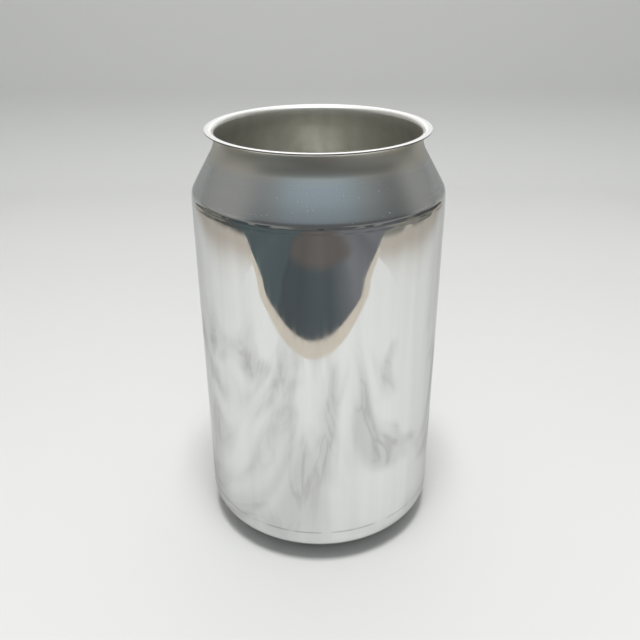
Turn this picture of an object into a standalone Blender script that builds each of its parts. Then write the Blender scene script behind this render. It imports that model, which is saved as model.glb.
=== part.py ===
"""Aluminium drinks can body, empty and open: one drawn, ironed, necked and flanged shell.

The can stands on its own base ring with its axis along +Z and the ring's flat at z = 0.
Lengths are in millimetres here and become metres when the mesh is made.
"""
import math

import bmesh
import bpy

MM = 0.001

# Body
HEIGHT = 115.2
BODY_RADIUS = 33.1

# Base: domed underside, leg, stand ring, sloping chime and heel
DOME_HEIGHT = 10.4
DOME_CORNER_RADIUS = 1.8
DOME_CORNER_HEIGHT = 4.2
LEG_LEAN = 4.0
STAND_INNER_RADIUS = 23.6
STAND_OUTER_RADIUS = 24.3
NOSE_RADIUS = 1.5
CHIME_SLOPE = 52.0
HEEL_RADIUS = 5.0
HEEL_HEIGHT = 8.7

# Neck: shoulder bend, cone, upper bend and the straight plug that a lid would enter
SHOULDER_HEIGHT = 98.75
SHOULDER_RADIUS = 3.2
NECK_SLOPE = 30.0
NECK_BEND_RADIUS = 8.9
PLUG_RADIUS = 26.36

# Flange: turned out all round the mouth for seaming
FLANGE_RADIUS = 28.6
FLANGE_BEND_RADIUS = 1.1

# Metal thickness, and the heights between which ironing changes it
BASE_THICKNESS = 0.26
WALL_THICKNESS = 0.105
NECK_THICKNESS = 0.16
THIN_WALL_START = 18.0
THIN_WALL_END = 84.0
THICK_NECK_START = 92.0

# Fineness of the faceted solid
STEPS_ROUND = 72
DOME_STEPS = 6
DOME_CORNER_STEPS = 4
NOSE_INNER_STEPS = 3
NOSE_OUTER_STEPS = 2
HEEL_STEPS = 5
SHOULDER_STEPS = 3
NECK_BEND_STEPS = 5
FLANGE_STEPS = 4

# Two vertices nearer than this (metres) on the axis are one
AXIS_MERGE = 1e-7

ALUMINIUM_COLOUR = (0.80, 0.81, 0.82, 1.0)
ALUMINIUM_ROUGHNESS = 0.22


def clear_scene():
    """Remove every object that a new file starts with."""
    for leftover in list(bpy.data.objects):
        bpy.data.objects.remove(leftover, do_unlink=True)


def facing(tilt):
    """Unit direction in the section plane, tilted up from straight outward by degrees."""
    return math.cos(math.radians(tilt)), math.sin(math.radians(tilt))


def bend(centre, radius, tilt_from, tilt_to, steps, thickness):
    """Points of one bend of the outer surface as (r, z, facing, thickness).

    A positive radius bulges away from the metal. A negative one is hollow, with its
    centre out in the air.
    """
    points = []
    for step in range(steps + 1):
        normal = facing(tilt_from + (tilt_to - tilt_from) * step / steps)
        points.append((centre[0] + radius * normal[0], centre[1] + radius * normal[1],
                       normal, thickness))
    return points


def base_outline():
    """Outer surface from the middle of the dome out to the top of the heel."""
    leg_tilt = 180.0 + LEG_LEAN
    inward = facing(leg_tilt)
    leg_foot = (STAND_INNER_RADIUS + NOSE_RADIUS * inward[0],
                NOSE_RADIUS + NOSE_RADIUS * inward[1])
    leg_top_height = DOME_CORNER_HEIGHT - DOME_CORNER_RADIUS * inward[1]
    leg_run = (leg_top_height - leg_foot[1]) * math.tan(math.radians(LEG_LEAN))
    corner_centre = (leg_foot[0] - leg_run + DOME_CORNER_RADIUS * inward[0],
                     DOME_CORNER_HEIGHT)

    # The dome is the sphere through the middle height that also meets the corner bend.
    rise = DOME_HEIGHT - DOME_CORNER_RADIUS - DOME_CORNER_HEIGHT
    drop = (corner_centre[0] ** 2 - rise ** 2) / (2.0 * rise)
    dome_radius = drop + rise + DOME_CORNER_RADIUS
    dome_centre = (0.0, DOME_HEIGHT - dome_radius)
    dome_edge_tilt = 180.0 + math.degrees(math.atan2(drop, corner_centre[0]))

    chime = -CHIME_SLOPE
    outline = bend(dome_centre, -dome_radius, 270.0, dome_edge_tilt, DOME_STEPS,
                   BASE_THICKNESS)
    outline += bend(corner_centre, -DOME_CORNER_RADIUS, dome_edge_tilt, leg_tilt,
                    DOME_CORNER_STEPS, BASE_THICKNESS)[1:]
    outline += bend((STAND_INNER_RADIUS, NOSE_RADIUS), NOSE_RADIUS, leg_tilt, 270.0,
                    NOSE_INNER_STEPS, BASE_THICKNESS)
    outline += bend((STAND_OUTER_RADIUS, NOSE_RADIUS), NOSE_RADIUS, -90.0, chime,
                    NOSE_OUTER_STEPS, BASE_THICKNESS)
    outline += bend((BODY_RADIUS - HEEL_RADIUS, HEEL_HEIGHT), HEEL_RADIUS, chime, 0.0,
                    HEEL_STEPS, BASE_THICKNESS)
    return outline


def wall_outline():
    """Ironed wall between the heel and the shoulder, thin over most of its height."""
    outward = facing(0.0)
    return [(BODY_RADIUS, THIN_WALL_START, outward, WALL_THICKNESS),
            (BODY_RADIUS, THIN_WALL_END, outward, WALL_THICKNESS),
            (BODY_RADIUS, THICK_NECK_START, outward, NECK_THICKNESS)]


def neck_outline():
    """Shoulder, cone, plug and flange, up to the cut edge of the lip."""
    outline = bend((BODY_RADIUS - SHOULDER_RADIUS, SHOULDER_HEIGHT), SHOULDER_RADIUS,
                   0.0, NECK_SLOPE, SHOULDER_STEPS, NECK_THICKNESS)
    cone_foot = outline[-1]

    normal = facing(NECK_SLOPE)
    bend_centre_radius = PLUG_RADIUS + NECK_BEND_RADIUS
    cone_top_radius = bend_centre_radius - NECK_BEND_RADIUS * normal[0]
    cone_rise = (cone_foot[0] - cone_top_radius) / math.tan(math.radians(NECK_SLOPE))
    bend_centre_height = cone_foot[1] + cone_rise + NECK_BEND_RADIUS * normal[1]
    outline += bend((bend_centre_radius, bend_centre_height), -NECK_BEND_RADIUS,
                    NECK_SLOPE, 0.0, NECK_BEND_STEPS, NECK_THICKNESS)

    under_flange = HEIGHT - NECK_THICKNESS
    outline += bend((PLUG_RADIUS + FLANGE_BEND_RADIUS, under_flange - FLANGE_BEND_RADIUS),
                    -FLANGE_BEND_RADIUS, 0.0, -90.0, FLANGE_STEPS, NECK_THICKNESS)
    outline.append((FLANGE_RADIUS, under_flange, facing(-90.0), NECK_THICKNESS))
    return outline


def shell_section():
    """Closed half section: outer surface up to the lip, then the inner surface back down."""
    outer = base_outline() + wall_outline() + neck_outline()
    inner = [(r - thickness * normal[0], z - thickness * normal[1])
             for r, z, normal, thickness in reversed(outer)]
    return [(r, z) for r, z, normal, thickness in outer] + inner


def spin_shell(name, section):
    """Turn the half section once round the axis into one closed mesh."""
    shell = bmesh.new()
    verts = [shell.verts.new((r * MM, 0.0, z * MM)) for r, z in section]
    edges = [shell.edges.new(pair) for pair in zip(verts, verts[1:])]
    bmesh.ops.spin(shell, geom=verts + edges, cent=(0.0, 0.0, 0.0), axis=(0.0, 0.0, 1.0),
                   angle=math.tau, steps=STEPS_ROUND, use_merge=True)
    on_axis = [vert for vert in shell.verts if math.hypot(vert.co.x, vert.co.y) < AXIS_MERGE]
    bmesh.ops.remove_doubles(shell, verts=on_axis, dist=AXIS_MERGE)
    bmesh.ops.recalc_face_normals(shell, faces=shell.faces)
    mesh = bpy.data.meshes.new(name)
    shell.to_mesh(mesh)
    shell.free()
    mesh.shade_smooth()
    mesh.set_sharp_from_angle(angle=math.radians(35.0))
    return mesh


def aluminium():
    """Bare bright aluminium sheet."""
    material = bpy.data.materials.new("aluminium")
    material.use_nodes = True
    shader = material.node_tree.nodes["Principled BSDF"]
    shader.inputs["Base Color"].default_value = ALUMINIUM_COLOUR
    shader.inputs["Metallic"].default_value = 1.0
    shader.inputs["Roughness"].default_value = ALUMINIUM_ROUGHNESS
    return material


clear_scene()
can_body = bpy.data.objects.new("can_body", spin_shell("can_body", shell_section()))
can_body.data.materials.append(aluminium())
bpy.context.scene.collection.objects.link(can_body)
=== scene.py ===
"""Looks of an open aluminium drinks can body: mirror-ironed wall, satin neck, lacquered inside.

The can stands on a plain pale floor under soft studio light. Lengths are in metres, and names
that end in _MM are millimetres, which is how a can maker states them. Angles are in degrees.
"""
import math

import bpy
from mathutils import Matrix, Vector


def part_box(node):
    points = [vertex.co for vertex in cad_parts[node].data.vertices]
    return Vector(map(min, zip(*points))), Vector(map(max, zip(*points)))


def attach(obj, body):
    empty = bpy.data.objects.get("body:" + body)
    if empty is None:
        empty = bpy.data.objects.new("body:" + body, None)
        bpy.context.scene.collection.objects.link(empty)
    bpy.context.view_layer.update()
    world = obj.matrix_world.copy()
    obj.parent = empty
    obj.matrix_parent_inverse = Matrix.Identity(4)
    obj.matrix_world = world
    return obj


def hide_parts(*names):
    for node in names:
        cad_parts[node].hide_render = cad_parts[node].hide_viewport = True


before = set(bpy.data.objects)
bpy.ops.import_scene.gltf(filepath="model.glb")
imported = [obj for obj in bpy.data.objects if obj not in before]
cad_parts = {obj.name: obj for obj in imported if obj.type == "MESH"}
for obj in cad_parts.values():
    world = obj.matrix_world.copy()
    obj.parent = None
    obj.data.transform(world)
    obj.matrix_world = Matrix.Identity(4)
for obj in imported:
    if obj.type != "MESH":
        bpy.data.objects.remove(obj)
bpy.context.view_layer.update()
can_low, can_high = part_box("can_body")

# ---------------------------------------------------------------------------------------
# The shell. The real one is a single cup of 3104 aluminium: drawn from a disc, ironed thin
# through a stack of rings, domed underneath, then squeezed in at the neck and flanged.
# Here its half section is worked out from the maker's sizes and a node tree spins it round.
# ---------------------------------------------------------------------------------------
MM = 0.001
HEIGHT_MM = (can_high.z - can_low.z) / MM
BODY_RADIUS_MM = (can_high.x - can_low.x) / 2 / MM

# Base: domed underside, leg, stand ring, sloping chime and heel
DOME_HEIGHT_MM = 10.4
DOME_CORNER_RADIUS_MM = 1.8
DOME_CORNER_HEIGHT_MM = 4.2
LEG_LEAN = 4.0
STAND_INNER_RADIUS_MM = 23.6
STAND_OUTER_RADIUS_MM = 24.3
NOSE_RADIUS_MM = 1.5
CHIME_SLOPE = 52.0
HEEL_RADIUS_MM = 5.0
HEEL_HEIGHT_MM = 8.7

# Neck: shoulder bend, cone, upper bend, the straight plug that a lid would enter, and flange
SHOULDER_HEIGHT_MM = 98.75
SHOULDER_RADIUS_MM = 3.2
NECK_SLOPE = 30.0
NECK_BEND_RADIUS_MM = 8.9
PLUG_RADIUS_MM = 26.36
FLANGE_RADIUS_MM = 28.6
FLANGE_BEND_RADIUS_MM = 1.1
BURR_MM = 0.10
BURR_WIDTH_MM = 0.16
CRISP_MM = 0.015

# Metal thickness, and the heights between which ironing changes it
BASE_THICKNESS_MM = 0.26
WALL_THICKNESS_MM = 0.105
NECK_THICKNESS_MM = 0.16
THIN_WALL_START_MM = 18.0
THIN_WALL_END_MM = 84.0
THICK_NECK_START_MM = 92.0

# Fineness of the section and of the spin. The flange's bright finish reaches from the lip into
# the mouth over as many points as BRIGHT_LIP_STEPS says.
DOME_STEPS = 16
DOME_CORNER_STEPS = 8
NOSE_INNER_STEPS = 8
NOSE_OUTER_STEPS = 4
CHIME_STEPS = 3
HEEL_STEPS = 12
WALL_STEPS = 40
CREASED_STEPS = 12
SHOULDER_STEPS = 12
CONE_STEPS = 8
NECK_BEND_STEPS = 20
PLUG_STEPS = 2
FLANGE_BEND_STEPS = 12
BRIGHT_LIP_STEPS = 9
STEPS_ROUND = 300
SEAM_GAP = 1e-6

# The wall isn't a perfect cylinder. It waves slightly along the draw and has a shallow ring
# where the ironing let the metal grow thicker. It leans in towards the shoulder bend, which the
# necking dies left creased, and has three small dents there. All of it sinks into the outline.
WAVE_DEPTH_MM = 0.10
WAVE_WIDTH_MM = 13.0
WAVE_LENGTH_MM = 60.0
WAVE_START_MM = 9.0
WAVE_FULL_MM = 20.0
RING_DEPTH_MM = 0.03
RING_HEIGHT_MM = 85.0
RING_HALF_WIDTH_MM = 5.5
LEAN_DEPTH_MM = 0.09
LEAN_START_MM = 91.5
LEAN_END_MM = 104.0
CREASE_DEPTH_MM = 0.09
CREASE_WIDTH_MM = 2.6
CREASE_START_MM = 97.8
CONE_FADE_MM = 1.0
DENT_DEPTH_MM = 0.06
DENT_RADIUS_MM = 1.2

# Each dent's angle round the can, and its height in millimetres
DENTS = ((-50.5, 97.2), (-39.9, 96.6), (-33.3, 97.5))

# The finishes that meet along the section, in the order of the material slots
BASE, OUTSIDE, FLANGE, CUT, INSIDE = range(5)


def facing(tilt):
    """Unit direction in the section plane, tilted up from straight outward by degrees."""
    return math.cos(math.radians(tilt)), math.sin(math.radians(tilt))


def bend(centre, radius, tilt_from, tilt_to, steps, finish):
    """Points of one bend of the outer surface as (radius, height, facing, finish).

    A positive radius bulges out. A negative one is hollow, with its centre out in the air.
    """
    points = []
    for step in range(steps + 1):
        normal = facing(tilt_from + (tilt_to - tilt_from) * step / steps)
        points.append((centre[0] + radius * normal[0], centre[1] + radius * normal[1],
                       normal, finish))
    return points


def straight(start, end, steps, finish):
    """The points strictly between two others on a straight stretch, facing as the start does."""
    return [(start[0] + (end[0] - start[0]) * step / steps,
             start[1] + (end[1] - start[1]) * step / steps, start[2], finish)
            for step in range(1, steps)]


def base_outline():
    """Dome, leg, stand ring, chime and heel."""
    leg_tilt = 180.0 + LEG_LEAN
    inward = facing(leg_tilt)
    leg_foot = (STAND_INNER_RADIUS_MM + NOSE_RADIUS_MM * inward[0],
                NOSE_RADIUS_MM + NOSE_RADIUS_MM * inward[1])
    leg_top_height = DOME_CORNER_HEIGHT_MM - DOME_CORNER_RADIUS_MM * inward[1]
    leg_run = (leg_top_height - leg_foot[1]) * math.tan(math.radians(LEG_LEAN))
    corner_centre = (leg_foot[0] - leg_run + DOME_CORNER_RADIUS_MM * inward[0],
                     DOME_CORNER_HEIGHT_MM)

    # The dome is the sphere through the middle height that also meets the corner bend
    rise = DOME_HEIGHT_MM - DOME_CORNER_RADIUS_MM - DOME_CORNER_HEIGHT_MM
    drop = (corner_centre[0] ** 2 - rise ** 2) / (2.0 * rise)
    dome_radius = drop + rise + DOME_CORNER_RADIUS_MM
    dome_edge_tilt = 180.0 + math.degrees(math.atan2(drop, corner_centre[0]))

    outline = bend((0.0, DOME_HEIGHT_MM - dome_radius), -dome_radius, 270.0,
                   dome_edge_tilt, DOME_STEPS, BASE)
    outline += bend(corner_centre, -DOME_CORNER_RADIUS_MM, dome_edge_tilt, leg_tilt,
                    DOME_CORNER_STEPS, BASE)[1:]
    outline += bend((STAND_INNER_RADIUS_MM, NOSE_RADIUS_MM), NOSE_RADIUS_MM, leg_tilt, 270.0,
                    NOSE_INNER_STEPS, BASE)
    outline += bend((STAND_OUTER_RADIUS_MM, NOSE_RADIUS_MM), NOSE_RADIUS_MM, -90.0,
                    -CHIME_SLOPE, NOSE_OUTER_STEPS, BASE)
    heel = bend((BODY_RADIUS_MM - HEEL_RADIUS_MM, HEEL_HEIGHT_MM), HEEL_RADIUS_MM,
                -CHIME_SLOPE, 0.0, HEEL_STEPS, OUTSIDE)
    return outline + straight(outline[-1], heel[0], CHIME_STEPS, BASE) + heel


def neck_outline():
    """Shoulder bend, cone, upper bend, plug and flange, whose cut edge has a burr."""
    shoulder = bend((BODY_RADIUS_MM - SHOULDER_RADIUS_MM, SHOULDER_HEIGHT_MM),
                    SHOULDER_RADIUS_MM, 0.0, NECK_SLOPE, SHOULDER_STEPS, OUTSIDE)
    cone_foot = shoulder[-1]
    normal = facing(NECK_SLOPE)
    bend_centre_radius = PLUG_RADIUS_MM + NECK_BEND_RADIUS_MM
    cone_top_radius = bend_centre_radius - NECK_BEND_RADIUS_MM * normal[0]
    cone_rise = (cone_foot[0] - cone_top_radius) / math.tan(math.radians(NECK_SLOPE))
    bend_centre_height = cone_foot[1] + cone_rise + NECK_BEND_RADIUS_MM * normal[1]
    upper_bend = bend((bend_centre_radius, bend_centre_height), -NECK_BEND_RADIUS_MM,
                      NECK_SLOPE, 0.0, NECK_BEND_STEPS, OUTSIDE)
    under_flange = HEIGHT_MM - NECK_THICKNESS_MM
    flange = bend((PLUG_RADIUS_MM + FLANGE_BEND_RADIUS_MM, under_flange - FLANGE_BEND_RADIUS_MM),
                  -FLANGE_BEND_RADIUS_MM, 0.0, -90.0, FLANGE_BEND_STEPS, OUTSIDE)
    down = facing(-90.0)
    flange += [(FLANGE_RADIUS_MM - BURR_WIDTH_MM, under_flange, down, CUT),
               (FLANGE_RADIUS_MM - CRISP_MM, under_flange - BURR_MM, down, CUT),
               (FLANGE_RADIUS_MM, under_flange - BURR_MM, down, CUT)]
    return (shoulder + straight(cone_foot, upper_bend[0], CONE_STEPS, OUTSIDE) + upper_bend
            + straight(upper_bend[-1], flange[0], PLUG_STEPS, OUTSIDE) + flange)


def thickness(point):
    """Metal thickness at a point of the outer surface, thinned where the wall is ironed."""
    height = point[1]
    if point[3] == CUT:
        return HEIGHT_MM - height
    if height > THICK_NECK_START_MM:
        return NECK_THICKNESS_MM
    if height > THIN_WALL_END_MM:
        share = (height - THIN_WALL_END_MM) / (THICK_NECK_START_MM - THIN_WALL_END_MM)
        return WALL_THICKNESS_MM + share * (NECK_THICKNESS_MM - WALL_THICKNESS_MM)
    if point[0] < BODY_RADIUS_MM or height <= HEEL_HEIGHT_MM:
        return BASE_THICKNESS_MM
    share = min(1.0, (height - HEEL_HEIGHT_MM) / (THIN_WALL_START_MM - HEEL_HEIGHT_MM))
    return BASE_THICKNESS_MM + share * (WALL_THICKNESS_MM - BASE_THICKNESS_MM)


def section_mesh():
    """The closed half section as a chain of points, with the finish that follows each point."""
    base, neck = base_outline(), neck_outline()
    creased = (BODY_RADIUS_MM, CREASE_START_MM, facing(0.0), OUTSIDE)
    wall = (straight(base[-1], creased, WALL_STEPS, OUTSIDE) + [creased]
            + straight(creased, neck[0], CREASED_STEPS, OUTSIDE))
    outer = base + wall + neck
    inner = []
    for point in reversed(outer):
        gauge = thickness(point)
        finish = FLANGE if len(inner) < BRIGHT_LIP_STEPS else INSIDE
        inner.append((point[0] - gauge * point[2][0], point[1] - gauge * point[2][1], None,
                      finish))
    edge = [(FLANGE_RADIUS_MM, outer[-1][1] + CRISP_MM, None, CUT),
            (FLANGE_RADIUS_MM, HEIGHT_MM - CRISP_MM, None, CUT)]
    chain = outer + edge + inner
    mesh = bpy.data.meshes.new("can_section")
    mesh.from_pydata([(point[0] * MM, 0.0, point[1] * MM) for point in chain],
                     [(place, place + 1) for place in range(len(chain) - 1)], [])
    numbers = mesh.attributes.new("finish", "INT", "POINT")
    numbers.data.foreach_set("value", [point[3] for point in chain])
    return mesh


def feed(node, inputs):
    """Give a node's inputs, by name or in order, a value or a link from a node or socket."""
    if isinstance(inputs, dict):
        pairs = [(node.inputs[name], value) for name, value in inputs.items()]
    else:
        pairs = zip([socket for socket in node.inputs if socket.enabled], inputs)
    for socket, value in pairs:
        if isinstance(value, bpy.types.Node):
            value = next(output for output in value.outputs if output.enabled)
        if isinstance(value, bpy.types.NodeSocket):
            node.id_data.links.new(value, socket)
        else:
            socket.default_value = value


def add(tree, kind, inputs=(), **settings):
    """Add a node with its settings and links."""
    node = tree.nodes.new(kind)
    for name, value in settings.items():
        setattr(node, name, value)
    feed(node, inputs)
    return node


def linear(hex_colour):
    """An sRGB hex colour as linear red, green, blue and full alpha."""
    channels = [int(hex_colour[place:place + 2], 16) / 255 for place in (1, 3, 5)]
    return [channel / 12.92 if channel <= 0.04045 else ((channel + 0.055) / 1.055) ** 2.4
            for channel in channels] + [1.0]


def metal(name):
    """A new metal's material, its node tree and shader, and the place on the can in metres."""
    material = bpy.data.materials.new(name)
    material.use_nodes = True
    tree = material.node_tree
    place = add(tree, "ShaderNodeTexCoord").outputs["Object"]
    return material, tree, tree.nodes["Principled BSDF"], place


def tool_marks(tree, place, sizes_mm, detail=2.0):
    """Noise from 0 to 1 in marks of these sizes along X, Y and Z, as tools and rolls leave."""
    scaled = add(tree, "ShaderNodeMapping", {
        "Vector": place, "Scale": [1 / size / MM for size in sizes_mm]})
    return add(tree, "ShaderNodeTexNoise", {"Vector": scaled, "Scale": 1.0, "Detail": detail})


# The setting of a Map Range that eases in and out, and the span that nearly all noise lies in
SMOOTH = {"interpolation_type": "SMOOTHSTEP"}
NOISE_SPAN = (0.3, 0.7)

# Outside: 3104 aluminium burnished by the ironing rings to a near mirror, with faint upright
# draw lines. The rings bite just above the heel, with duller metal below their bite. The fine
# broken dark line there is painted shade, standing for the small step at their edge, which the
# shape doesn't have. Above the shoulder bend the necking dies rubbed the same metal satin.
# Overspray of the inside lacquer warms and dulls the plug under the flange, and the cone has
# tiny rough pits. At a glancing angle the metal mirrors a little less than its face does, as
# EDGE_TINT says. Draw lines and pits are drawn a little coarser than real.
OUTSIDE_COLOUR = "#EBECEC"
WALL_ROUGHNESS = (0.03, 0.075)
EDGE_TINT = 0.72
DRAW_LINE_MM = 1.1
DRAW_LINE_LENGTH_MM = 45.0
DRAW_LINE_DEPTH_MM = 0.0012
DRAW_LINE_SPAN = (0.35, 0.7)
STREAK_MM = 3.5
STREAK_LENGTH_MM = 90.0
STREAK_DULL = 0.92
BITE_HEIGHT_MM = 11.0
BITE_LINE_MM = 0.4
BITE_LINE_PAINTED_SHADE = 0.62
BITE_BREAK_MM = 4.0
BITE_BREAK_SPAN = (0.34, 0.52)
HEEL_ROUGHNESS = 0.16
POLISH_END_MM = 100.2
SATIN_START_MM = 100.8
NECK_COLOUR = "#DCDFE0"
NECK_ROUGHNESS = (0.255, 0.275)
DIE_MARK_MM = 5.0
DIE_MARK_LENGTH_MM = 60.0
OVERSPRAY_START_MM = 107.3
OVERSPRAY_END_MM = 110.5
OVERSPRAY_COLOUR = "#E5E2D9"
OVERSPRAY_DULL = 0.09
PIT_MM = 0.2
PIT_SPACING_MM = 1.15
PIT_MISSING_SHARE = 0.35
PIT_COLOUR = "#DADDDF"
PIT_ROUGHNESS = 0.75


def ironed_aluminium():
    """Mirror wall, satin cone and coated plug of one metal, told apart by height."""
    material, tree, shader, place = metal("ironed_aluminium")
    height = add(tree, "ShaderNodeSeparateXYZ", [place]).outputs["Z"]
    satin = add(tree, "ShaderNodeMapRange",
                [height, POLISH_END_MM * MM, SATIN_START_MM * MM], **SMOOTH)
    coated = add(tree, "ShaderNodeMapRange",
                 [height, OVERSPRAY_START_MM * MM, OVERSPRAY_END_MM * MM], **SMOOTH)
    on_wall = add(tree, "ShaderNodeMath", [1.0, satin], operation="SUBTRACT")
    on_cone = add(tree, "ShaderNodeMath", [satin, coated], operation="SUBTRACT")

    # Wall: draw lines in the polish, and unpolished metal below the bite of the rings
    lines = tool_marks(tree, place, (DRAW_LINE_MM, DRAW_LINE_MM, DRAW_LINE_LENGTH_MM))
    bump = add(tree, "ShaderNodeBump", {
        "Strength": on_wall, "Height": lines, "Distance": DRAW_LINE_DEPTH_MM * MM})
    polish = add(tree, "ShaderNodeMapRange", [lines, *DRAW_LINE_SPAN, *WALL_ROUGHNESS])
    unironed = add(tree, "ShaderNodeMapRange", [
        height, BITE_HEIGHT_MM * MM, (BITE_HEIGHT_MM - 2 * BITE_LINE_MM) * MM])
    wall_rough = add(tree, "ShaderNodeMix", [unironed, polish, HEEL_ROUGHNESS])

    # Wall: broad streaks, and the broken bite line round the can, which is a line of painted
    # shade
    streaks = tool_marks(tree, place, (STREAK_MM, STREAK_MM, STREAK_LENGTH_MM), detail=3.0)
    streak_shade = add(tree, "ShaderNodeMapRange", [streaks, *NOISE_SPAN, STREAK_DULL, 1.0])
    above_bite = add(tree, "ShaderNodeMath", [height, BITE_HEIGHT_MM * MM], operation="SUBTRACT")
    off_bite = add(tree, "ShaderNodeMath", [above_bite], operation="ABSOLUTE")
    bite_painted_shade = add(tree, "ShaderNodeMapRange",
                     [off_bite, 0.0, BITE_LINE_MM * MM, BITE_LINE_PAINTED_SHADE, 1.0])
    breaks = add(tree, "ShaderNodeTexNoise", {"Vector": place, "Scale": 1 / BITE_BREAK_MM / MM})
    unbroken = add(tree, "ShaderNodeMapRange", [breaks, *BITE_BREAK_SPAN])
    bite_painted_shade = add(tree, "ShaderNodeMix", [unbroken, 1.0, bite_painted_shade])
    shade = add(tree, "ShaderNodeMath", [streak_shade, bite_painted_shade], operation="MULTIPLY")
    wall_tint = add(tree, "ShaderNodeVectorMath", [linear(OUTSIDE_COLOUR)[:3], shade],
                    operation="SCALE")

    # Neck: marks of the dies round it, and the overspray on the plug
    rubbed = tool_marks(tree, place, (DIE_MARK_LENGTH_MM, DIE_MARK_LENGTH_MM, DIE_MARK_MM))
    neck_rough = add(tree, "ShaderNodeMapRange", [rubbed, *NOISE_SPAN, *NECK_ROUGHNESS])
    neck_rough = add(tree, "ShaderNodeMath", [coated, OVERSPRAY_DULL, neck_rough],
                     operation="MULTIPLY_ADD")
    neck_tint = add(tree, "ShaderNodeMix", [
        coated, linear(NECK_COLOUR), linear(OVERSPRAY_COLOUR)], data_type="RGBA")

    # Pits of the cone: each cell of the pattern has one of its own size, or none
    cells = add(tree, "ShaderNodeTexVoronoi", {
        "Vector": place, "Scale": 1 / PIT_SPACING_MM / MM}).outputs
    odds = add(tree, "ShaderNodeSeparateColor", [cells["Color"]])
    size = add(tree, "ShaderNodeMapRange", [
        odds, PIT_MISSING_SHARE, 1.0, 0.0, PIT_MM / PIT_SPACING_MM])
    pitted = add(tree, "ShaderNodeMath", [cells["Distance"], size], operation="LESS_THAN")
    pitted = add(tree, "ShaderNodeMath", [pitted, on_cone], operation="MULTIPLY")

    tint = add(tree, "ShaderNodeMix", [satin, wall_tint, neck_tint], data_type="RGBA")
    tint = add(tree, "ShaderNodeMix", [pitted, tint, linear(PIT_COLOUR)], data_type="RGBA")
    rough = add(tree, "ShaderNodeMix", [satin, wall_rough, neck_rough])
    rough = add(tree, "ShaderNodeMix", [pitted, rough, PIT_ROUGHNESS])
    feed(shader, {"Base Color": tint, "Metallic": 1.0, "Roughness": rough, "Normal": bump,
                  "Specular Tint": (EDGE_TINT, EDGE_TINT, EDGE_TINT, 1.0)})
    return material


# Flange: the same metal, bright where the roller turned it out, with rings round the mouth from
# the roller. They are drawn coarser than real.
FLANGE_COLOUR = "#F0F0EF"
FLANGE_ROUGHNESS = (0.13, 0.20)
ROLLER_RING_MM = 0.35


def flange_aluminium():
    """Bright rolled lip."""
    material, tree, shader, place = metal("flange_aluminium")
    flat = add(tree, "ShaderNodeVectorMath", [place, (1.0, 1.0, 0.0)], operation="MULTIPLY")
    reach = add(tree, "ShaderNodeVectorMath", [flat], operation="LENGTH")
    rings = add(tree, "ShaderNodeTexNoise", {
        "W": reach, "Scale": 1 / ROLLER_RING_MM / MM, "Detail": 1.0}, noise_dimensions="1D")
    rough = add(tree, "ShaderNodeMapRange", [rings, *NOISE_SPAN, *FLANGE_ROUGHNESS])
    feed(shader, {"Base Color": linear(FLANGE_COLOUR), "Metallic": 1.0, "Roughness": rough})
    return material


# Cut edge of the flange: sheared, so it is dull, grey and torn. Its colour is also darkened as
# painted shade, standing for the shade under the lip. Its burr is drawn a little larger than
# real, to show as the dark line round the mouth.
CUT_AND_SHADE_COLOUR = "#77797A"
CUT_ROUGHNESS = (0.3, 0.42)
TEAR_MM = 0.7


def sheared_aluminium():
    """Dull sheared edge, darkened further as painted shade."""
    material, tree, shader, place = metal("sheared_aluminium")
    tears = add(tree, "ShaderNodeTexNoise", {
        "Vector": place, "Scale": 1 / TEAR_MM / MM, "Detail": 2.0})
    rough = add(tree, "ShaderNodeMapRange", [tears, *NOISE_SPAN, *CUT_ROUGHNESS])
    feed(shader, {"Base Color": linear(CUT_AND_SHADE_COLOUR), "Metallic": 1.0, "Roughness": rough})
    return material


# Inside: metal under a clear epoxy lacquer, baked on, whose slight haze warms and softens its
# shine. The ironing punch left upright lines under the lacquer, drawn coarser than real.
LACQUER_COLOUR = "#F4F3EC"
LACQUER_HAZE = 0.15
LACQUER_ROUGHNESS = (0.28, 0.38)
PUNCH_LINE_MM = 3.0
PUNCH_LINE_LENGTH_MM = 60.0
PUNCH_LINE_DARK = 0.90
PUNCH_LINE_DEPTH_MM = 0.004


def lacquered_aluminium():
    """Aluminium under baked clear lacquer."""
    material, tree, shader, place = metal("lacquered_aluminium")
    lines = tool_marks(tree, place, (PUNCH_LINE_MM, PUNCH_LINE_MM, PUNCH_LINE_LENGTH_MM))
    rough = add(tree, "ShaderNodeMapRange", [lines, *NOISE_SPAN, *LACQUER_ROUGHNESS])
    shade = add(tree, "ShaderNodeMapRange", [lines, *NOISE_SPAN, 1.0, PUNCH_LINE_DARK])
    tint = add(tree, "ShaderNodeVectorMath", [linear(LACQUER_COLOUR)[:3], shade],
               operation="SCALE")
    bump = add(tree, "ShaderNodeBump", {"Height": lines, "Distance": PUNCH_LINE_DEPTH_MM * MM})
    feed(shader, {"Base Color": tint, "Metallic": 1.0 - LACQUER_HAZE, "Roughness": rough,
                  "Normal": bump})
    return material


# Base: metal that the ironing rings never touched, so it keeps the straight grain of the rolled
# sheet. The grain is drawn coarser than real.
BASE_COLOUR = "#DEDFE0"
BASE_ROUGHNESS = (0.24, 0.36)
GRAIN_MM = 0.6
GRAIN_LENGTH_MM = 30.0
GRAIN_DARK = 0.86
GRAIN_DEPTH_MM = 0.004


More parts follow.
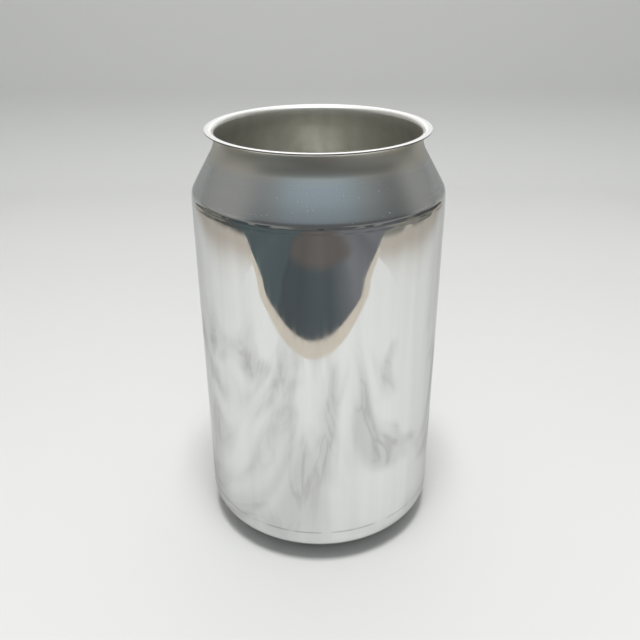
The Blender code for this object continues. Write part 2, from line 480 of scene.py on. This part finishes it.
def mill_aluminium():
    """Rolled sheet with its straight mill grain."""
    material, tree, shader, place = metal("mill_aluminium")
    grain = tool_marks(tree, place, (GRAIN_LENGTH_MM, GRAIN_MM, GRAIN_LENGTH_MM), detail=3.0)
    rough = add(tree, "ShaderNodeMapRange", [grain, *NOISE_SPAN, *BASE_ROUGHNESS])
    shade = add(tree, "ShaderNodeMapRange", [grain, *NOISE_SPAN, GRAIN_DARK, 1.0])
    tint = add(tree, "ShaderNodeVectorMath", [linear(BASE_COLOUR)[:3], shade],
               operation="SCALE")
    bump = add(tree, "ShaderNodeBump", {"Height": grain, "Distance": GRAIN_DEPTH_MM * MM})
    feed(shader, {"Base Color": tint, "Metallic": 1.0, "Roughness": rough, "Normal": bump})
    return material


def sinking(tree, given, on_wall, height):
    """How far each point sinks towards the axis, by waves, ring, creases, dents and lean."""
    def ripple(width, length):
        """Noise from 0 to 1 over the wall, with that width round it and length along it."""
        spread = add(tree, "ShaderNodeCombineXYZ", [width, width, length])
        spot = add(tree, "ShaderNodeVectorMath", [on_wall, spread], operation="DIVIDE")
        return add(tree, "ShaderNodeTexNoise", {"Vector": spot, "Scale": 1.0, "Detail": 2.0})

    # Waves of the wall, which begin above the heel
    sink = add(tree, "ShaderNodeMath", [
        ripple(given["Wave Width"], given["Wave Length"]), given["Wave Depth"]],
        operation="MULTIPLY")
    waving = add(tree, "ShaderNodeMapRange",
                 [height, given["Wave Start"], given["Wave Full"]], **SMOOTH)
    sink = add(tree, "ShaderNodeMath", [sink, waving], operation="MULTIPLY")

    # The shallow ring
    off_ring = add(tree, "ShaderNodeMath", [height, given["Ring Height"]],
                   operation="SUBTRACT")
    off_ring = add(tree, "ShaderNodeMath", [off_ring], operation="ABSOLUTE")
    ringed = add(tree, "ShaderNodeMapRange", [off_ring, given["Ring Half Width"], 0.0],
                 **SMOOTH)
    sink = add(tree, "ShaderNodeMath", [ringed, given["Ring Depth"], sink],
               operation="MULTIPLY_ADD")

    # Creases and dents, which end where the cone starts
    creased = add(tree, "ShaderNodeMapRange",
                  [height, given["Crease Start"], given["Shoulder Height"]], **SMOOTH)
    creased = add(tree, "ShaderNodeMath", [
        ripple(given["Crease Width"], given["Crease Width"]), creased], operation="MULTIPLY")
    sink = add(tree, "ShaderNodeMath", [creased, given["Crease Depth"], sink],
               operation="MULTIPLY_ADD")
    for azimuth, dent_height_mm in DENTS:
        angle = math.radians(azimuth)
        spot = (BODY_RADIUS_MM * MM * math.cos(angle), BODY_RADIUS_MM * MM * math.sin(angle),
                dent_height_mm * MM)
        away = add(tree, "ShaderNodeVectorMath", [on_wall, spot], operation="DISTANCE")
        dented = add(tree, "ShaderNodeMapRange", [away, given["Dent Radius"], 0.0], **SMOOTH)
        sink = add(tree, "ShaderNodeMath", [dented, given["Dent Depth"], sink],
                   operation="MULTIPLY_ADD")
    fade_start = add(tree, "ShaderNodeMath", [given["Cone Start"], given["Cone Fade"]],
                     operation="SUBTRACT")
    on_cone = add(tree, "ShaderNodeMapRange", [height, fade_start, given["Cone Start"]],
                  **SMOOTH)
    below_cone = add(tree, "ShaderNodeMath", [1.0, on_cone], operation="SUBTRACT")
    sink = add(tree, "ShaderNodeMath", [sink, below_cone], operation="MULTIPLY")

    # The lean, which grows up to the shoulder bend and dies out on the cone
    lean = add(tree, "ShaderNodeMapRange",
               [height, given["Lean Start"], given["Shoulder Height"]])
    lean = add(tree, "ShaderNodeMath", [lean, 2.0], operation="POWER")
    leaning = add(tree, "ShaderNodeMapRange",
                  [height, given["Lean End"], given["Shoulder Height"]], **SMOOTH)
    lean = add(tree, "ShaderNodeMath", [lean, leaning], operation="MULTIPLY")
    return add(tree, "ShaderNodeMath", [lean, given["Lean Depth"], sink],
               operation="MULTIPLY_ADD")


def spinning_tree(sizes, finishes):
    """Node tree that spins the object's own chain of points once round Z into a shell.

    Its inputs are named for the sizes and for the finishes, which are numbered in order.
    """
    tree = bpy.data.node_groups.new("spun_shell", "GeometryNodeTree")
    named = {"Section": "Geometry", "Steps Round": "Int"}
    named.update({size: "Float" for size in sizes})
    named.update({finish: "Material" for finish in finishes})
    for name, kind in named.items():
        tree.interface.new_socket(name, in_out="INPUT", socket_type="NodeSocket" + kind)
    tree.interface.new_socket("Shell", in_out="OUTPUT", socket_type="NodeSocketGeometry")
    given = add(tree, "NodeGroupInput").outputs

    # A sheet with one row for every point of the section and one column for every step round
    rows = add(tree, "GeometryNodeAttributeDomainSize",
               [given["Section"]]).outputs["Point Count"]
    columns = add(tree, "ShaderNodeMath", [given["Steps Round"], 1.0], operation="ADD")
    sheet = add(tree, "GeometryNodeMeshGrid", [1.0, 1.0, columns, rows])
    here = add(tree, "GeometryNodeInputPosition")
    at = add(tree, "ShaderNodeSeparateXYZ", [here]).outputs
    along = add(tree, "ShaderNodeMath", [at["X"], 0.5], operation="ADD")
    turn = add(tree, "ShaderNodeMath", [along, math.tau], operation="MULTIPLY")
    up = add(tree, "ShaderNodeMath", [at["Y"], 0.5], operation="ADD")
    last_row = add(tree, "ShaderNodeMath", [rows, 1.0], operation="SUBTRACT")
    row = add(tree, "ShaderNodeMath", [up, last_row], operation="MULTIPLY")

    # Each face takes the finish of the section point that it starts from
    numbers = add(tree, "GeometryNodeInputNamedAttribute", {"Name": "finish"}, data_type="INT")
    start_row = add(tree, "ShaderNodeMath", [row], operation="FLOOR")
    finish = add(tree, "GeometryNodeSampleIndex", {
        "Geometry": given["Section"], "Value": numbers, "Index": start_row}, data_type="INT")
    shell = add(tree, "GeometryNodeStoreNamedAttribute", {
        "Geometry": sheet, "Name": "finish", "Value": finish}, data_type="INT", domain="FACE")

    # Where each point of the sheet goes on the can, before anything sinks it
    own_row = add(tree, "ShaderNodeMath", [row], operation="ROUND")
    point = add(tree, "GeometryNodeSampleIndex", {
        "Geometry": given["Section"], "Value": here, "Index": own_row},
        data_type="FLOAT_VECTOR")
    point = add(tree, "ShaderNodeSeparateXYZ", [point]).outputs
    radius, height = point["X"], point["Z"]
    across = add(tree, "ShaderNodeMath", [turn], operation="COSINE")
    depth = add(tree, "ShaderNodeMath", [turn], operation="SINE")
    outward = add(tree, "ShaderNodeCombineXYZ", [across, depth, 0.0])
    level = add(tree, "ShaderNodeCombineXYZ", [0.0, 0.0, height])
    on_wall = add(tree, "ShaderNodeVectorMath", [outward, given["Body Radius"], level],
                  operation="MULTIPLY_ADD")

    # Spin the sunk section, and close the seam and the two poles
    sink = sinking(tree, given, on_wall, height)
    sunk = add(tree, "ShaderNodeMath", [radius, sink], operation="SUBTRACT")
    spun = add(tree, "ShaderNodeVectorMath", [outward, sunk, level], operation="MULTIPLY_ADD")
    shell = add(tree, "GeometryNodeSetPosition", {"Geometry": shell, "Position": spun})
    shell = add(tree, "GeometryNodeMergeByDistance", {"Geometry": shell, "Distance": SEAM_GAP})
    shell = add(tree, "GeometryNodeSetShadeSmooth", [shell])
    shell = add(tree, "GeometryNodeRealizeInstances", [shell])

    # Each finish is put on from its own number upward, so the last one put on stays
    for number, finish in enumerate(finishes):
        from_here = add(tree, "FunctionNodeCompare", [numbers, number],
                        data_type="INT", operation="GREATER_EQUAL")
        shell = add(tree, "GeometryNodeSetMaterial", [shell, from_here, given[finish]])
    add(tree, "NodeGroupOutput", [shell])
    return tree


def baked(carrier, name):
    """The evaluated object as one plain mesh object with no modifier."""
    graph = bpy.context.evaluated_depsgraph_get()
    mesh = bpy.data.meshes.new_from_object(carrier.evaluated_get(graph))
    piece = bpy.data.objects.new(name, mesh)
    bpy.context.scene.collection.objects.link(piece)
    bpy.data.objects.remove(carrier, do_unlink=True)
    return piece


sizes = {
    "Body Radius": BODY_RADIUS_MM * MM,
    "Shoulder Height": SHOULDER_HEIGHT_MM * MM,
    "Cone Start": (SHOULDER_HEIGHT_MM + SHOULDER_RADIUS_MM / 2) * MM,
    "Cone Fade": CONE_FADE_MM * MM,
    "Wave Depth": WAVE_DEPTH_MM * MM, "Wave Width": WAVE_WIDTH_MM * MM,
    "Wave Length": WAVE_LENGTH_MM * MM,
    "Wave Start": WAVE_START_MM * MM, "Wave Full": WAVE_FULL_MM * MM,
    "Ring Depth": RING_DEPTH_MM * MM, "Ring Height": RING_HEIGHT_MM * MM,
    "Ring Half Width": RING_HALF_WIDTH_MM * MM,
    "Lean Depth": LEAN_DEPTH_MM * MM, "Lean Start": LEAN_START_MM * MM,
    "Lean End": LEAN_END_MM * MM,
    "Crease Depth": CREASE_DEPTH_MM * MM, "Crease Width": CREASE_WIDTH_MM * MM,
    "Crease Start": CREASE_START_MM * MM,
    "Dent Depth": DENT_DEPTH_MM * MM, "Dent Radius": DENT_RADIUS_MM * MM,
}
finishes = {
    "Base Finish": mill_aluminium(), "Outside Finish": ironed_aluminium(),
    "Flange Finish": flange_aluminium(), "Cut Finish": sheared_aluminium(),
    "Inside Finish": lacquered_aluminium(),
}
carrier = bpy.data.objects.new("can_section", section_mesh())
bpy.context.scene.collection.objects.link(carrier)
spin = carrier.modifiers.new("spin", "NODES")
spin.node_group = spinning_tree(sizes, finishes)
values = {"Steps Round": STEPS_ROUND, **sizes, **finishes}
for socket in spin.node_group.interface.items_tree:
    if socket.name in values:
        spin[socket.identifier] = values[socket.name]
can_shell = baked(carrier, "can_shell")
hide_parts("can_body")
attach(can_shell, "root")

# ---------------------------------------------------------------------------------------
# Floor and backdrop. One sheet of board with pale matt paint, which sweeps up behind the can
# in a smooth bend, so that the floor ends without an edge.
# ---------------------------------------------------------------------------------------
FLOOR_COLOUR = "#CBCBC9"
FLOOR_ROUGHNESS = 0.6
FLOOR_HALF_WIDTH = 1.5
FLOOR_FRONT = -2.0
SWEEP_START = 0.32
SWEEP_RADIUS = 0.06
SWEEP_TOP = 0.17
SWEEP_STEPS = 12
MATT_SHINE = 0.2


def matt(name, hex_colour, roughness):
    """Plain matt surface: evenly dull, with little shine."""
    material = bpy.data.materials.new(name)
    material.use_nodes = True
    feed(material.node_tree.nodes["Principled BSDF"], {
        "Base Color": linear(hex_colour), "Roughness": roughness,
        "Specular IOR Level": MATT_SHINE})
    return material


def staged(name, points, faces, material):
    """A sheet that is part of the studio and not of the can."""
    mesh = bpy.data.meshes.new(name)
    mesh.from_pydata(points, [], faces)
    mesh.materials.append(material)
    mesh.shade_smooth()
    sheet = bpy.data.objects.new(name, mesh)
    bpy.context.scene.collection.objects.link(sheet)
    return sheet


sweep = [(FLOOR_FRONT, 0.0), (SWEEP_START, 0.0)]
for step in range(1, SWEEP_STEPS + 1):
    angle = math.radians(90.0 * step / SWEEP_STEPS)
    sweep.append((SWEEP_START + SWEEP_RADIUS * math.sin(angle),
                  SWEEP_RADIUS * (1 - math.cos(angle))))
sweep.append((SWEEP_START + SWEEP_RADIUS, SWEEP_TOP))
staged("floor", [(side * FLOOR_HALF_WIDTH, y, z) for y, z in sweep for side in (-1, 1)],
       [(2 * k, 2 * k + 1, 2 * k + 3, 2 * k + 2) for k in range(len(sweep) - 1)],
       matt("pale_floor", FLOOR_COLOUR, FLOOR_ROUGHNESS))

# ---------------------------------------------------------------------------------------
# Pale cloth. A mirror wall shows what lies round it, so cloths that only reflections see lie
# round the can. This one is matt cotton in the floor's colour. Its soft grey patches are painted
# shade, standing for creases that the flat sheet doesn't have, and thin grey veins are dyed
# inside them. They show low in the wall, and the cloth fades into the floor away from the can.
# ---------------------------------------------------------------------------------------
CLOTH_LIFT = 0.0005
CLOTH_SKEW = -0.085
PALE_CLOTH_FRONT = -0.146
PALE_CLOTH_REACH = 0.19
VEIN_AND_SHADE_COLOUR = "#8C8B8B"
VEIN_AND_SHADE_STRETCH = (1.3, 0.7, 1.0)
VEIN_AND_SHADE_SHIFT = (0.4, 0.0, 0.2)
CREASE_SHADE_PATCH = 0.06
CREASE_SHADE_SPAN = (0.46, 0.68)
CREASE_SHADE_SWIRL = 0.6
CREASE_SHADE_SHARE = 0.36
VEIN_LINE = 0.03
VEIN_LINE_EDGE = 0.07
VEIN_LINE_SWIRL = 1.0
VEIN_LINE_SHARE = 0.28
VEIN_AND_SHADE_FADE_START = 0.12


def cloth(name, corners, material):
    """A cloth on the floor, seen only in reflections, from its corners taken one way round."""
    sheet = staged(name, corners, [(0, 1, 2, 3)], material)
    sheet.visible_camera = False
    sheet.visible_diffuse = False
    sheet.visible_shadow = False


def strip(front, back, half_width):
    """Corners of a strip across the floor, set a little askew."""
    return [(x, y + CLOTH_SKEW * x, 2 * CLOTH_LIFT)
            for x, y in ((-half_width, front), (half_width, front),
                         (half_width, back), (-half_width, back))]


def veined_and_shaded(name):
    """Pale cloth with painted crease shade in patches and dyed vein lines inside them, fading
    into the floor.
    """
    material = matt(name, FLOOR_COLOUR, FLOOR_ROUGHNESS)
    tree = material.node_tree
    place = add(tree, "ShaderNodeTexCoord").outputs["Object"]
    pulled = add(tree, "ShaderNodeMapping", {
        "Vector": place, "Location": VEIN_AND_SHADE_SHIFT, "Scale": VEIN_AND_SHADE_STRETCH})
    # Soft grey patches: painted shade standing for creases in the flat cloth
    patches = add(tree, "ShaderNodeTexNoise", {
        "Vector": pulled, "Scale": 1 / CREASE_SHADE_PATCH, "Detail": 2.0,
        "Distortion": CREASE_SHADE_SWIRL})
    patches = add(tree, "ShaderNodeMapRange", [patches, *CREASE_SHADE_SPAN], **SMOOTH)

    # A line runs wherever the noise passes its middle value
    lines = add(tree, "ShaderNodeTexNoise", {
        "Vector": pulled, "Scale": 1 / VEIN_LINE, "Detail": 4.0, "Distortion": VEIN_LINE_SWIRL})
    lines = add(tree, "ShaderNodeMath", [lines, 0.5], operation="SUBTRACT")
    lines = add(tree, "ShaderNodeMath", [lines], operation="ABSOLUTE")
    lines = add(tree, "ShaderNodeMapRange", [lines, 0.0, VEIN_LINE_EDGE, VEIN_LINE_SHARE, 0.0])

    share = add(tree, "ShaderNodeMath", [patches, lines, CREASE_SHADE_SHARE],
                operation="MULTIPLY_ADD")
    share = add(tree, "ShaderNodeMath", [patches, share], operation="MULTIPLY")
    away = add(tree, "ShaderNodeVectorMath", [place], operation="LENGTH")
    near = add(tree, "ShaderNodeMapRange", [away, PALE_CLOTH_REACH, VEIN_AND_SHADE_FADE_START], **SMOOTH)
    share = add(tree, "ShaderNodeMath", [share, near], operation="MULTIPLY")
    colour = add(tree, "ShaderNodeMix", [share, linear(FLOOR_COLOUR), linear(VEIN_AND_SHADE_COLOUR)],
                 data_type="RGBA")
    feed(tree.nodes["Principled BSDF"], {"Base Color": colour})
    return material


cloth("pale_cloth", strip(PALE_CLOTH_FRONT, PALE_CLOTH_REACH, PALE_CLOTH_REACH),
      veined_and_shaded("pale_cloth"))

# ---------------------------------------------------------------------------------------
# Flag. A dark matt wool cloth in front of the can, sewn from panels of four shades. The sheet
# is flat, and soft folds that run away from the can are only painted on it, as bands of painted
# light and shade. A cream cotton hem finishes the edge next to the can.
# ---------------------------------------------------------------------------------------
HEM_COLOUR = "#B5ADA1"
HEM_ROUGHNESS = 0.7
HEM_WIDTH = 0.016
HEM_HALF_WIDTH = 0.22
FLAG_EDGE = PALE_CLOTH_FRONT - HEM_WIDTH
FLAG_COLOUR = "#3D4346"
FLAG_LEFT_COLOUR = "#444D4F"
FLAG_RIGHT_COLOUR = "#5D5E61"
FLAG_FAR_COLOUR = "#504C49"
FLAG_ROUGHNESS = 0.9
FOLD_WIDTH = 0.08
FOLD_LENGTH = 0.9
FOLD_PAINTED_LIGHT_AND_SHADE = (0.92, 1.2)

# Each panel's axis, where along it the panel starts and is full, and its shade
FLAG_PANELS = (("X", 0.02, 0.12, FLAG_RIGHT_COLOUR),
               ("Y", -0.225, -0.255, FLAG_FAR_COLOUR),
               ("X", 0.10, 0.15, FLAG_RIGHT_COLOUR),
               ("X", -0.105, -0.115, FLAG_LEFT_COLOUR))


def laid(tree, under, over, *edges):
    """One colour laid over another where each value is past its edge, given as start and full."""
    share = 1.0
    for value, start, full in edges:
        past = add(tree, "ShaderNodeMapRange", [value, start, full], **SMOOTH)
        share = add(tree, "ShaderNodeMath", [share, past], operation="MULTIPLY")
    return add(tree, "ShaderNodeMix", [share, under, over], data_type="RGBA")


def fold_painted_cloth(name):
    """Dark cloth of several panels, with painted light and shade along folds that it doesn't
    have.
    """
    material = matt(name, FLAG_COLOUR, FLAG_ROUGHNESS)
    tree = material.node_tree
    place = add(tree, "ShaderNodeTexCoord").outputs["Object"]
    along = add(tree, "ShaderNodeSeparateXYZ", [place]).outputs
    colour = linear(FLAG_COLOUR)
    for axis, start, full, shade in FLAG_PANELS:
        colour = laid(tree, colour, linear(shade), (along[axis], start, full))
    # Lighter and darker bands along the folds: painted light and shade, as the sheet is flat
    pulled = add(tree, "ShaderNodeMapping", {
        "Vector": place, "Scale": (1 / FOLD_WIDTH, 1 / FOLD_LENGTH, 1.0)})
    folds = add(tree, "ShaderNodeTexNoise", {"Vector": pulled, "Scale": 1.0, "Detail": 1.0})
    fold_painted_light_and_shade = add(tree, "ShaderNodeMapRange", [folds, *NOISE_SPAN, *FOLD_PAINTED_LIGHT_AND_SHADE])
    shaded = add(tree, "ShaderNodeVectorMath", [colour, fold_painted_light_and_shade], operation="SCALE")
    feed(tree.nodes["Principled BSDF"], {"Base Color": shaded})
    return material


cloth("flag_hem", strip(FLAG_EDGE, PALE_CLOTH_FRONT, HEM_HALF_WIDTH),
      matt("hem_cloth", HEM_COLOUR, HEM_ROUGHNESS))
cloth("flag", strip(FLOOR_FRONT, FLAG_EDGE, FLOOR_HALF_WIDTH), fold_painted_cloth("flag_cloth"))

# ---------------------------------------------------------------------------------------
# Side cloths. One matt wool cloth on each side of the floor. From the floor's colour it turns
# cream and then dark with lighter patches, in bands that close in towards the front.
# ---------------------------------------------------------------------------------------
SIDE_CLOTH_START = 0.2
SIDE_CLOTH_ROUGHNESS = 0.8
CLOSING_START = -0.05
CLOSING_LENGTH = 1.0
CLOSING_SHIFT = 0.5
PATCH_WIDTH = 0.3
PATCH_SPAN = (0.45, 0.6)

# Where each band starts and is full, aside from the can's middle, its shade and its patches'
SIDE_BANDS = ((0.20, 0.29, "#A69F96", "#A69F96"),
              (0.31, 0.34, "#484948", "#7C7A72"))


def banded(name):
    """Cloth whose bands follow the distance to the side of the can."""
    material = matt(name, FLOOR_COLOUR, SIDE_CLOTH_ROUGHNESS)
    tree = material.node_tree
    place = add(tree, "ShaderNodeTexCoord").outputs["Object"]
    along = add(tree, "ShaderNodeSeparateXYZ", [place]).outputs
    aside = add(tree, "ShaderNodeMath", [along["X"]], operation="ABSOLUTE")
    closing = add(tree, "ShaderNodeMapRange", [
        along["Y"], CLOSING_START, CLOSING_START - CLOSING_LENGTH, 0.0, CLOSING_SHIFT])
    aside = add(tree, "ShaderNodeMath", [aside, closing], operation="ADD")
    patches = add(tree, "ShaderNodeTexNoise", {
        "Vector": place, "Scale": 1 / PATCH_WIDTH, "Detail": 1.0})
    patches = add(tree, "ShaderNodeMapRange", [patches, *PATCH_SPAN])
    colour = linear(FLOOR_COLOUR)
    for start, full, shade, patch_shade in SIDE_BANDS:
        patched = add(tree, "ShaderNodeMix", [patches, linear(shade), linear(patch_shade)],
                      data_type="RGBA")
        colour = laid(tree, colour, patched, (aside, start, full))
    feed(tree.nodes["Principled BSDF"], {"Base Color": colour})
    return material


side_cloth = banded("side_cloth")
for side in (-1, 1):
    cloth("side_flag", [(side * SIDE_CLOTH_START, FLOOR_FRONT, CLOTH_LIFT),
                        (side * FLOOR_HALF_WIDTH, FLOOR_FRONT, CLOTH_LIFT),
                        (side * FLOOR_HALF_WIDTH, SWEEP_START, CLOTH_LIFT),
                        (side * SIDE_CLOTH_START, SWEEP_START, CLOTH_LIFT)], side_cloth)

# ---------------------------------------------------------------------------------------
# Sky. It stands for the studio: a wide soft ceiling, bright behind, cool in front, a dark low in
# front and a dim far wall on each side of it. Each is laid over those before it, and an edge is
# the direction where it starts and the one where it is full.
# ---------------------------------------------------------------------------------------
SIDE_COLOUR = (0.34, 0.335, 0.32, 1.0)
BACK_COLOUR = (0.9, 0.9, 0.89, 1.0)
BACK_EDGE = (-0.05, 0.2)
BACK_SIDE_EDGE = (0.6, 0.42)
GLOW_COLOUR = (1.3, 1.3, 1.28, 1.0)
GLOW_SIDE_EDGE = (0.17, 0.05)
FRONT_COLOUR = (0.43, 0.54, 0.61, 1.0)
FRONT_EDGE = (-0.15, -0.6)
FRONT_SIDE_COLOUR = (0.40, 0.43, 0.43, 1.0)
FRONT_SIDE_EDGE = (0.35, 0.6)
DARK_COLOUR = (0.11, 0.115, 0.115, 1.0)
DARK_EDGE = (0.07, -0.38)
DARK_TURN = -0.2
DARK_TOP_EDGE = (0.75, 0.58)
DARK_TOP_DIP = 0.17
FAR_WALL_COLOUR = (0.22, 0.225, 0.22, 1.0)
FAR_WALL_TOP_EDGE = (0.16, 0.12)
FAR_WALL_SIDE_EDGE = (0.3, 0.5)
CEILING_COLOUR = (1.2, 1.2, 1.182, 1.0)
CEILING_EDGE = (0.78, 0.96)

world = bpy.data.worlds.new("studio")
bpy.context.scene.world = world
world.use_nodes = True
sky = world.node_tree
looking = add(sky, "ShaderNodeTexCoord").outputs["Generated"]
looking = add(sky, "ShaderNodeSeparateXYZ", [looking]).outputs
across, behind, above = looking["X"], looking["Y"], looking["Z"]
aside = add(sky, "ShaderNodeMath", [across], operation="ABSOLUTE")
back = laid(sky, BACK_COLOUR, GLOW_COLOUR, (aside, *GLOW_SIDE_EDGE))
front = laid(sky, FRONT_COLOUR, FRONT_SIDE_COLOUR, (aside, *FRONT_SIDE_EDGE))

# The dark ends at a level edge above, as a wall does, and reaches further round on the right
squared = add(sky, "ShaderNodeMath", [across, across], operation="MULTIPLY")
dark_top = add(sky, "ShaderNodeMath", [squared, DARK_TOP_DIP, above], operation="MULTIPLY_ADD")
turned = add(sky, "ShaderNodeMath", [across, DARK_TURN, behind], operation="MULTIPLY_ADD")

colour = laid(sky, SIDE_COLOUR, back, (behind, *BACK_EDGE), (aside, *BACK_SIDE_EDGE))
colour = laid(sky, colour, front, (behind, *FRONT_EDGE))
colour = laid(sky, colour, DARK_COLOUR, (turned, *DARK_EDGE), (dark_top, *DARK_TOP_EDGE))
colour = laid(sky, colour, FAR_WALL_COLOUR, (above, *FAR_WALL_TOP_EDGE),
              (aside, *FAR_WALL_SIDE_EDGE))
colour = laid(sky, colour, CEILING_COLOUR, (above, *CEILING_EDGE))
feed(sky.nodes["Background"], {"Color": colour})

# ---------------------------------------------------------------------------------------
# Lamps. Square soft boxes: the key hangs over the can and the fill in front of it, and the
# metal doesn't mirror them. The weaker glint hangs where the key does and is mirrored.
# ---------------------------------------------------------------------------------------
KEY_PLACE = (0.0, -0.14, 0.85)
KEY_SIDE = 0.2
KEY_WATTS = 4.3
GLINT_WATTS = 1.5
FILL_PLACE = (0.0, -0.8, 0.5)
FILL_TILT = 58.0
FILL_SIDE = 0.7
FILL_WATTS = 1.1


def lamp(name, place, tilt, side, watts, mirrored):
    """Square soft box, tilted up from straight down by degrees."""
    light = bpy.data.lights.new(name, "AREA")
    light.size = side
    light.energy = watts
    hung = bpy.data.objects.new(name, light)
    hung.location = place
    hung.rotation_euler = (math.radians(tilt), 0.0, 0.0)
    hung.visible_glossy = mirrored
    bpy.context.scene.collection.objects.link(hung)


lamp("key", KEY_PLACE, 0.0, KEY_SIDE, KEY_WATTS, False)
lamp("glint", KEY_PLACE, 0.0, KEY_SIDE, GLINT_WATTS, True)
lamp("fill", FILL_PLACE, FILL_TILT, FILL_SIDE, FILL_WATTS, False)

# ---------------------------------------------------------------------------------------
# Camera. It stands close in front of the can and a little above it, looks down on it, and is
# rolled a touch. Its lens is given by the focal length of a square picture, in pixels.
# ---------------------------------------------------------------------------------------
CAMERA_PLACE = (0.00023, -0.1853, 0.1550)
CAMERA_PITCH = 27.09
CAMERA_ROLL = -0.27
FOCAL_PIXELS = 727.0
PICTURE_PIXELS = 640.0
SENSOR_MM = 36.0
NEAREST_SEEN = 0.01

lens = bpy.data.cameras.new("camera")
lens.sensor_width = SENSOR_MM
lens.lens = FOCAL_PIXELS / PICTURE_PIXELS * SENSOR_MM
lens.clip_start = NEAREST_SEEN
camera = bpy.data.objects.new("camera", lens)
camera.location = CAMERA_PLACE
camera.rotation_mode = "ZXY"
camera.rotation_euler = (math.radians(90.0 - CAMERA_PITCH), 0.0, math.radians(CAMERA_ROLL))
bpy.context.scene.collection.objects.link(camera)
bpy.context.scene.camera = camera
bpy.context.scene.view_settings.view_transform = "Standard"
